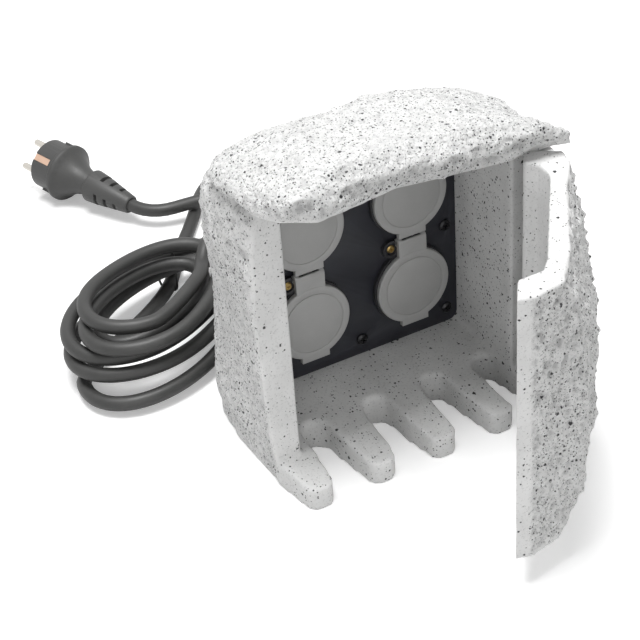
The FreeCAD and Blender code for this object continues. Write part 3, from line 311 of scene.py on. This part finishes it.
def scoops(points, size, seed):
    """Chipped stone, from about -1 to 0: the lowest of bowls set at random in each lattice cell, each the
    squared distance from its middle plus a random tilt, so that hollows meet in sharp ridges."""
    q = points / size
    low = np.floor(q)
    best = np.full(len(q), 9.0)
    for step in itertools.product((-1, 0, 1), repeat=3):
        cell = low + step
        middle = cell + np.stack([0.15 + 0.7 * cell_random(cell, seed + k) for k in range(3)], axis=1)
        tilt = np.stack([cell_random(cell, seed + 3 + k) - 0.5 for k in range(3)], axis=1)
        off = q - middle
        bowl = np.sum(off * off + 0.9 * tilt * off, axis=1)
        best = np.minimum(best, bowl + 0.25 * cell_random(cell, seed + 6))
    return np.clip(best, -0.5, 1.0) - 1.0


def step_up(value, low, high):
    """0 below the low limit, 1 above the high one, and 3t^2 - 2t^3 between them."""
    t = np.clip((value - low) / (high - low), 0.0, 1.0)
    return t * t * (3 - 2 * t)


def body_roughness(p):
    """Where the boulder's skin is broken: 1 on the outside, 0 in the cavity, the wiring chamber, the seats,
    the front bands, the comb and the underside, by distance from each of those spaces."""
    x, y, z = p.T
    inwards = np.clip((y - BAND_Y) / (CAVITY_BACK_Y - BAND_Y), 0, 1)
    left, right, bottom, top = (front + (back - front) * inwards for front, back in CAVITY_LIMITS)
    cavity = np.maximum.reduce([left - x, x - right, bottom - z, z - top, y - PANEL_SEAT_Y])
    chamber = np.maximum.reduce([
        np.abs(x) - CHAMBER_HALF_WIDTH, y - CHAMBER_Y[1] + 0.45 * np.maximum(z - 72.0, 0),
        z - CHAMBER_TOP_Z, CHAMBER_Y[0] - y])
    seat = np.maximum.reduce([np.abs(x) - SEAT_HALF_SIZE[0], np.abs(y - SEAT_MIDDLE_Y) - SEAT_HALF_SIZE[1],
                              z - SEAT_TOP_Z])
    gland = np.maximum(np.hypot(x - GLAND_X, z - GLAND_Z) - GLAND_SPACE_R, GLAND_Y - y)
    comb = np.maximum.reduce([np.abs(x - COMB_MIDDLE_X) - COMB_HALF_WIDTH, y - COMB_BACK_Y, z - COMB_TOP_Z])
    spaces = np.minimum.reduce([cavity, chamber, seat, gland])
    front = np.maximum(step_up(y, BAND_Y + 0.4, BAND_Y + 5.0), step_up(z, 181.5, 184.5))
    hinge = np.maximum(np.hypot(x - PIVOT_X, y - PIVOT_Y) - 9.0, z - 182.0)
    return (step_up(spaces, 0.6, 3.5) * step_up(comb, 0.0, 3.0) * front * step_up(z, 0.4, 5.0)
            * step_up(hinge, 0.0, 5.0))


body_stone, body_points = even_copy("rock_body", BODY_VOXEL)
body_rough = relaxed(body_stone.data, body_roughness(body_points), 3)
roof = step_up(body_points[:, 2], 176.0, 184.0)
brow = roof * step_up(-body_points[:, 1], 48.0, 66.0)
smooth = faired(body_stone.data, body_points, 5)
smoother = relaxed(body_stone.data, smooth, 6)
body_points = smooth + (smoother - smooth) * (body_rough * (1 - 0.8 * brow))[:, None]
settle(body_stone.data, body_points)
body_normals = normals_of(body_stone.data)
steep = 1 - np.abs(body_normals[:, 2])
long_chips = body_points * np.array([0.6, 1.0, 1.2])
body_relief = (body_rough * (
    (1.5 + 1.6 * brow * steep - 0.5 * roof * (1 - brow)) * (scoops(long_chips, BIG_CHIP, 11) + 0.62)
    + (1.3 + 1.3 * brow * steep) * (scoops(body_points, SMALL_CHIP, 23) + 0.6)
    + 0.45 * soft_noise(body_points, 2.4, 5) + 1.0 * soft_noise(body_points, 26.0, 7))
    + (1 - body_rough) * (0.16 * soft_noise(body_points, 9.0, 31) + 0.07 * soft_noise(body_points, 2.8, 37)))
low_corner, high_corner = (np.array(corner) * MM for corner in cad_box)
body_points = np.clip(body_points + body_normals * body_relief[:, None], low_corner, high_corner)
settle(body_stone.data, body_points)


def speck_group():
    """Sparse dark chips in the resin: a cell pattern, where a cell is picked by its random colour, and its
    chip is the part nearer to the middle than a random radius, with an outline bent by noise."""
    group, start, end = new_group(
        "stone_specks",
        (("Vector", "Vector", None), ("Cell", "Float", 0.003), ("Share", "Float", 0.3),
         ("Radius", "Float", 0.3)),
        (("Mask", "Float"),))
    per_cell = add_node(group, "ShaderNodeMath", {"operation": "DIVIDE"}, i0=1.0, i1=start.outputs["Cell"])
    scaled = add_node(group, "ShaderNodeVectorMath", {"operation": "SCALE"}, i0=start.outputs["Vector"],
                      Scale=per_cell.outputs[0])
    bend = add_node(group, "ShaderNodeTexNoise", Vector=scaled.outputs[0], Scale=3.0, Detail=2.0)
    bent = add_node(group, "ShaderNodeVectorMath", {"operation": "MULTIPLY_ADD"}, i0=bend.outputs["Color"],
                    i1=(0.45, 0.45, 0.45), i2=scaled.outputs[0])
    cells = add_node(group, "ShaderNodeTexVoronoi", Vector=bent.outputs[0], Scale=1.0)
    parts = add_node(group, "ShaderNodeSeparateColor", Color=cells.outputs["Color"])
    picked = add_node(group, "ShaderNodeMath", {"operation": "LESS_THAN"}, i0=parts.outputs[0],
                      i1=start.outputs["Share"])
    size = add_node(group, "ShaderNodeMapRange", Value=parts.outputs[1], To_Min=0.35, To_Max=1.0)
    radius = add_node(group, "ShaderNodeMath", {"operation": "MULTIPLY"}, i0=size.outputs[0],
                      i1=start.outputs["Radius"])
    inside = add_node(group, "ShaderNodeMath", {"operation": "SUBTRACT"}, i0=radius.outputs[0],
                      i1=cells.outputs["Distance"])
    edge = add_node(group, "ShaderNodeMapRange", Value=inside.outputs[0], From_Min=-0.02, From_Max=0.05)
    mask = add_node(group, "ShaderNodeMath", {"operation": "MULTIPLY"}, i0=edge.outputs[0],
                    i1=picked.outputs[0])
    group.links.new(mask.outputs[0], end.inputs["Mask"])
    return group


def granite():
    """Pale resin with grey grains, black chips of three sizes and painted shade in its hollows. The broken
    skin has more grains and chips than the moulded faces, whose darker base colour is painted shade for the
    cavity."""
    material = bpy.data.materials.new("granite_resin")
    material.use_nodes = True
    tree = material.node_tree
    shader = tree.nodes["Principled BSDF"]
    place = tree.nodes.new("ShaderNodeTexCoord").outputs["Object"]
    broken = add_node(tree, "ShaderNodeAttribute", {"attribute_name": "broken"}).outputs["Fac"]
    hollow = add_node(tree, "ShaderNodeAttribute", {"attribute_name": "hollow"}).outputs["Fac"]

    def mixed(factor, low, high):
        node = add_node(tree, "ShaderNodeMix", {"data_type": "RGBA"}, i0=factor, i6=low, i7=high)
        return node.outputs[2]

    def spread(value, low, high, to_low=0.0, to_high=1.0):
        return add_node(tree, "ShaderNodeMapRange", Value=value, From_Min=low, From_Max=high, To_Min=to_low,
                        To_Max=to_high).outputs[0]

    cloud = add_node(tree, "ShaderNodeTexNoise", Vector=place, Scale=55.0, Detail=4.0).outputs[0]
    grain = add_node(tree, "ShaderNodeTexNoise", Vector=place, Scale=700.0, Detail=3.0,
                     Roughness=0.7).outputs[0]
    # painted shade: the moulded faces, which mostly line the cavity, get a darker base colour than the
    # broken skin, in place of the cavity's shade
    dull = mixed(broken, (0.62, 0.62, 0.615, 1), (0.82, 0.82, 0.815, 1))
    bright = mixed(broken, (0.69, 0.69, 0.685, 1), (0.90, 0.90, 0.895, 1))
    colour = mixed(spread(cloud, 0.35, 0.65), dull, bright)
    amount = add_node(tree, "ShaderNodeMath", {"operation": "MULTIPLY"}, i0=spread(grain, 0.56, 0.64),
                      i1=spread(broken, 0.0, 1.0, 0.25, 0.7))
    colour = mixed(amount.outputs[0], colour, (0.17, 0.17, 0.17, 1))
    # painted shade: the broken skin turns towards dark grey where its points lie below their surroundings
    hollow_shade = add_node(tree, "ShaderNodeMath", {"operation": "MULTIPLY"}, i0=spread(hollow, 0.5, 0.85),
                    i1=broken)
    colour = mixed(spread(hollow_shade.outputs[0], 0.0, 1.0, 0.0, 0.45), colour, (0.30, 0.30, 0.305, 1))
    for cell, share, radius in ((0.0042, 0.24, 0.28), (0.0026, 0.42, 0.31), (0.0015, 0.5, 0.36)):
        chips = add_node(tree, "ShaderNodeGroup", {"node_tree": specks}, Vector=place, Cell=cell,
                         Share=spread(broken, 0.0, 1.0, 0.4 * share, share), Radius=radius)
        colour = mixed(chips.outputs["Mask"], colour, (0.028, 0.028, 0.03, 1))
    tree.links.new(colour, shader.inputs["Base Color"])
    tree.links.new(spread(cloud, 0.3, 0.7, 0.62, 0.8), shader.inputs["Roughness"])
    pits = add_node(tree, "ShaderNodeTexNoise", Vector=place, Scale=330.0, Detail=5.0,
                    Roughness=0.7).outputs[0]
    height = add_node(tree, "ShaderNodeMath", {"operation": "MULTIPLY"}, i0=pits,
                      i1=spread(broken, 0.0, 1.0, 0.05, 1.0))
    relief = add_node(tree, "ShaderNodeBump", Height=height.outputs[0], Distance=0.0038)
    tree.links.new(relief.outputs[0], shader.inputs["Normal"])
    return material


def finish_stone(piece, node, body, rough, relief):
    """Keeps with each point how broken it is and how far it lies below its surroundings, and gives the piece
    smooth shading, its material, and the body that it rides on."""
    below = np.clip(0.5 - 0.5 * (relief - relaxed(piece.data, relief, 12)), 0, 1)
    for name, values in (("broken", rough), ("hollow", below)):
        kept = piece.data.attributes.new(name, "FLOAT", "POINT")
        kept.data.foreach_set("value", values.astype(np.float32))
    piece.data.materials.clear()
    piece.data.materials.append(granite_resin)
    piece.data.polygons.foreach_set("use_smooth", np.ones(len(piece.data.polygons), dtype=bool))
    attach(piece, body)
    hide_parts(node)


specks = speck_group()
granite_resin = granite()
finish_stone(body_stone, "rock_body", "base", body_rough, body_relief)

# Door: a hollow cast shell of the same resin that hangs on the boulder's right side. Its outside is the most
# broken face of all, and its rim and its hollow are smooth.
DOOR_VOXEL = 0.0013
DOOR_TURN = math.radians(53.5)
DOOR_MIDDLE = 80.0


def door_frame(p):
    """Distances along the door from its pivot, outwards from its back plane, and up."""
    x, y = p[:, 0] - PIVOT_X, p[:, 1] - PIVOT_Y
    shut_x = x * math.cos(DOOR_TURN) + y * math.sin(DOOR_TURN)
    shut_y = -x * math.sin(DOOR_TURN) + y * math.cos(DOOR_TURN)
    return -shut_x, -shut_y, p[:, 2]


def door_roughness(p, normals):
    """Where the door's skin is broken: 1 away from its back plane, its open rim, its foot and its knuckle,
    and only on faces that look outwards or past either end, whose normal leans away from the hollow."""
    u, v, z = door_frame(p)
    nx, ny = normals[:, 0], normals[:, 1]
    outward = nx * math.sin(DOOR_TURN) - ny * math.cos(DOOR_TURN)
    sideways = -(nx * math.cos(DOOR_TURN) + ny * math.sin(DOOR_TURN)) * np.sign(u - DOOR_MIDDLE)
    facing = step_up(np.maximum(outward, 0.9 * sideways * (v > 1)), 0.1, 0.5)
    rim = step_up(177.0 - z, 0.3, 5.0)
    return facing * rim * step_up(z, 19.3, 24.0) * step_up(u, 6.0, 14.0) * step_up(v, 0.5, 4.0)


door_stone, door_points = even_copy("rock_door", DOOR_VOXEL)
door_points = faired(door_stone.data, door_points, 5)
settle(door_stone.data, door_points)
door_rough = relaxed(door_stone.data, door_roughness(door_points, normals_of(door_stone.data)), 4)
door_points = door_points + (relaxed(door_stone.data, door_points, 8) - door_points) * door_rough[:, None]
settle(door_stone.data, door_points)
door_normals = normals_of(door_stone.data)
crest = step_up(door_points[:, 2], 95.0, 112.0) + 0.5 * step_up(-door_points[:, 2], -60.0, -40.0)
tall_chips = door_points * np.array([1.0, 1.0, 0.8])
door_relief = (door_rough * (
    (2.5 + 1.5 * crest) * (scoops(tall_chips, BIG_CHIP, 41) + 0.55)
    + (2.0 + 1.0 * crest) * (scoops(door_points, SMALL_CHIP, 53) + 0.55)
    + 0.5 * soft_noise(door_points, 2.2, 59))
    + (1 - door_rough) * (0.14 * soft_noise(door_points, 9.0, 61) + 0.06 * soft_noise(door_points, 2.8, 67)))
door_points = np.clip(door_points + door_normals * door_relief[:, None], low_corner, high_corner)
settle(door_stone.data, door_points)
finish_stone(door_stone, "rock_door", "door", door_rough, door_relief)

# Door hinge: two steel pins pressed into the boulder, and a nylon washer that the door turns on.
hinge_steel = moulded("hinge_steel", (0.55, 0.55, 0.56), 0.32, metallic=1.0, shade=0.06, bump=0.00002)
washer_nylon = moulded("washer_nylon", (0.62, 0.62, 0.6), 0.45)
dress(hinge_steel, "hinge_pin_lower", "hinge_pin_upper")
dress(washer_nylon, "hinge_washer")

# Panel: a blue-black moulded plate at the back of the cavity, on a soft gasket, held by dark screws.


def softened(name, body, material, width):
    """Copy of a solid with its flat faces joined up and its sharp edges rounded to a small radius."""
    piece = bpy.data.objects.new(name + "_rounded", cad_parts[name].data.copy())
    bpy.context.scene.collection.objects.link(piece)
    work = bmesh.new()
    work.from_mesh(piece.data)
    bmesh.ops.remove_doubles(work, verts=work.verts, dist=2e-6)
    bmesh.ops.dissolve_limit(work, angle_limit=math.radians(1.0), verts=work.verts, edges=work.edges)
    work.to_mesh(piece.data)
    work.free()
    piece.data.polygons.foreach_set("use_smooth", np.ones(len(piece.data.polygons), dtype=bool))
    bevel = piece.modifiers.new("round", "BEVEL")
    bevel.width = width
    bevel.segments = 2
    bevel.limit_method = "ANGLE"
    bevel.angle_limit = math.radians(38.0)
    bevel.harden_normals = True
    piece.data.materials.clear()
    piece.data.materials.append(material)
    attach(piece, body)
    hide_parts(name)


panel_black = moulded("panel_black", (0.018, 0.019, 0.026), 0.42, grain=0.0005, shade=0.2, bump=0.00003)
seal_rubber = moulded("seal_rubber", (0.02, 0.02, 0.02), 0.7, shade=0.2)
screw_dark = moulded("screw_dark", (0.05, 0.05, 0.052), 0.4, metallic=1.0, shade=0.2)
softened("socket_panel", "base", panel_black, 0.0005)
dress(seal_rubber, "panel_gasket")
dress(screw_dark, "panel_screws", "hatch_screws")

# Socket inserts: black mouldings with a deep recess, brass contact sleeves behind the pin holes, sprung
# earth strips at the top and bottom, and one brass screw beside each lid's neck.
SOCKETS = ("left_lower", "right_lower", "left_upper", "right_upper")
insert_black = moulded("insert_black", (0.022, 0.022, 0.025), 0.45, shade=0.2, bump=0.00003)
contact_brass = moulded("contact_brass", (0.62, 0.46, 0.2), 0.35, metallic=1.0, shade=0.12)
screw_brass = moulded("screw_brass", (0.42, 0.30, 0.12), 0.34, metallic=1.0, shade=0.12)
for place in SOCKETS:
    softened("socket_insert_" + place, "base", insert_black, 0.0003)
    dress(contact_brass, "contact_bushes_" + place, "earth_clips_" + place)
dress(screw_brass, "insert_screws")

# Lids: round mid-grey mouldings, each with a ring line, a thumb tab and a neck that hinges on a steel pin
# over a small sprung coil; a soft ring in the back closes on the insert.
lid_grey = moulded("lid_grey", (0.40, 0.40, 0.395), 0.4, grain=0.0005, blotch=0.015, shade=0.05,
                   bump=0.00002)
spring_steel = moulded("spring_steel", (0.6, 0.6, 0.6), 0.3, metallic=1.0, shade=0.05)
for place in SOCKETS:
    softened("lid_" + place, "lid_" + place, lid_grey, 0.0004)
    dress(seal_rubber, "lid_seal_" + place)
    dress(hinge_steel, "lid_pin_" + place)
    dress(spring_steel, "lid_spring_" + place)

# Wiring chamber: a cream terminal block on the plate that closes the chamber from below, and the cores.
hatch_black = moulded("hatch_black", (0.025, 0.025, 0.027), 0.5, shade=0.2)
terminal_cream = moulded("terminal_cream", (0.62, 0.58, 0.48), 0.45)
dress(hatch_black, "hatch_plate")
dress(terminal_cream, "terminal_block")
for core, colour in (("core_brown", (0.13, 0.05, 0.02)), ("core_blue", (0.02, 0.08, 0.35)),
                     ("core_green_yellow", (0.35, 0.45, 0.03))):
    dress(moulded(core, colour, 0.45), core)

# Gland: black nylon body, nut and dome nut that clamp the cable low at the back, with a bend protector.
gland_black = moulded("gland_black", (0.028, 0.028, 0.029), 0.45, shade=0.15)
dress(seal_rubber, "gland_seal")
dress(gland_black, "gland_nut", "bend_protector")
softened("gland_body", "base", gland_black, 0.0004)
softened("gland_dome_nut", "base", gland_black, 0.0004)

# Plug and tie: a dark rubber moulding with nickel pins, copper earth strips in its side grooves and a
# slotted neck that bends; a thin dark band holds the coil's strands together.
plug_rubber = moulded("plug_rubber", (0.05, 0.05, 0.049), 0.48, grain=0.0007, shade=0.12)
pin_nickel = moulded("pin_nickel", (0.66, 0.63, 0.58), 0.25, metallic=1.0, shade=0.06)
earth_copper = moulded("earth_copper", (0.72, 0.5, 0.38), 0.35, metallic=1.0, shade=0.1)
tie_black = moulded("tie_black", (0.03, 0.03, 0.03), 0.45)
softened("plug_body", "base", plug_rubber, 0.0005)
softened("plug_strain_relief", "base", plug_rubber, 0.0003)
dress(pin_nickel, "plug_pins")
dress(earth_copper, "plug_earth_contacts")
# The band lies in an upright plane across the coil: its outline is given across the coil and up
COIL_MIDDLE, COIL_TILT, TIE_ALONG = np.array([-74.0, 122.0]), math.radians(38.0), 45.0
TIE_OUTLINE = ((24.0, 0.9), (29.5, 1.6), (31.5, 8.0), (33.6, 14.6), (31.4, 24.0), (29.2, 33.0), (23.8, 35.6),
               (18.2, 33.2), (18.0, 22.0), (17.9, 10.0), (18.4, 1.8))
TIE_R = 0.0008
across_coil, height = np.array(TIE_OUTLINE).T
along_axis = np.array([math.cos(COIL_TILT), math.sin(COIL_TILT)])
across_axis = np.array([-math.sin(COIL_TILT), math.cos(COIL_TILT)])
plan = COIL_MIDDLE + TIE_ALONG * along_axis + across_coil[:, None] * across_axis
ring = np.column_stack([plan / MM, height / MM, np.ones(len(height))])
tie_curve = bpy.data.curves.new("tie_band", "CURVE")
tie_curve.dimensions = "3D"
tie_curve.bevel_depth = TIE_R
tie_curve.resolution_u = 6
loop = tie_curve.splines.new("NURBS")
loop.points.add(len(ring) - 1)
loop.points.foreach_set("co", ring.ravel())
loop.order_u = 3
loop.use_cyclic_u = True
tie = bpy.data.objects.new("tie_band", tie_curve)
bpy.context.scene.collection.objects.link(tie)
tie_curve.materials.append(tie_black)
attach(tie, "base")
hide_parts("cable_tie")

# Floor and light: a white floor that fades into the background, one soft lamp above and a little to the
# left, a weaker one in front at the left, and an even sky that the camera sees as plain white.
AMBIENT = 0.38
FLOOR_REACH = 6
floor_mesh = bpy.data.meshes.new("floor")
floor_corners = [(x * FLOOR_REACH, y * FLOOR_REACH, 0) for x, y in ((-1, -1), (1, -1), (1, 1), (-1, 1))]
floor_mesh.from_pydata(floor_corners, [], [(0, 1, 2, 3)])
floor = bpy.data.objects.new("floor", floor_mesh)
bpy.context.scene.collection.objects.link(floor)
floor_paint = bpy.data.materials.new("floor_paint")
floor_paint.use_nodes = True
tree = floor_paint.node_tree
path = tree.nodes.new("ShaderNodeLightPath")
shader = tree.nodes["Principled BSDF"]
shader.inputs["Base Color"].default_value = (0.86, 0.86, 0.86, 1)
shader.inputs["Roughness"].default_value = 0.9
shader.inputs["Specular IOR Level"].default_value = 0.1
shader.inputs["Emission Color"].default_value = (1, 1, 1, 1)
glow = add_node(tree, "ShaderNodeMath", {"operation": "MULTIPLY"}, i0=path.outputs["Is Camera Ray"], i1=0.3)
tree.links.new(glow.outputs[0], shader.inputs["Emission Strength"])
floor_mesh.materials.append(floor_paint)

world = bpy.data.worlds.new("studio")
world.use_nodes = True
bpy.context.scene.world = world
tree = world.node_tree
path = tree.nodes.new("ShaderNodeLightPath")
seen = add_node(tree, "ShaderNodeMath", {"operation": "MAXIMUM"}, i0=path.outputs["Is Camera Ray"],
                i1=path.outputs["Is Glossy Ray"])
seen = add_node(tree, "ShaderNodeMath", {"operation": "MAXIMUM"}, i0=seen.outputs[0],
                i1=path.outputs["Is Transmission Ray"])
strength = add_node(tree, "ShaderNodeMapRange", Value=seen.outputs[0], To_Min=AMBIENT, To_Max=1.0)
tree.links.new(strength.outputs[0], tree.nodes["Background"].inputs["Strength"])
tree.nodes["Background"].inputs["Color"].default_value = (1, 1, 1, 1)


def soft_lamp(name, place, aim, size, power):
    """Square area lamp at a place, turned to its aim."""
    lamp = bpy.data.objects.new(name, bpy.data.lights.new(name, "AREA"))
    lamp.data.size = size
    lamp.data.energy = power
    lamp.matrix_world = (Matrix.Translation(place)
                         @ (Vector(place) - Vector(aim)).to_track_quat("Z", "Y").to_matrix().to_4x4())
    bpy.context.scene.collection.objects.link(lamp)


LAMP_AIM = (0.0, 0.0, 0.1)
soft_lamp("top_lamp", (-0.15, 0.0, 1.5), LAMP_AIM, 0.7, 25.0)
soft_lamp("front_lamp", (-0.5, -1.5, 0.8), LAMP_AIM, 1.0, 5.0)
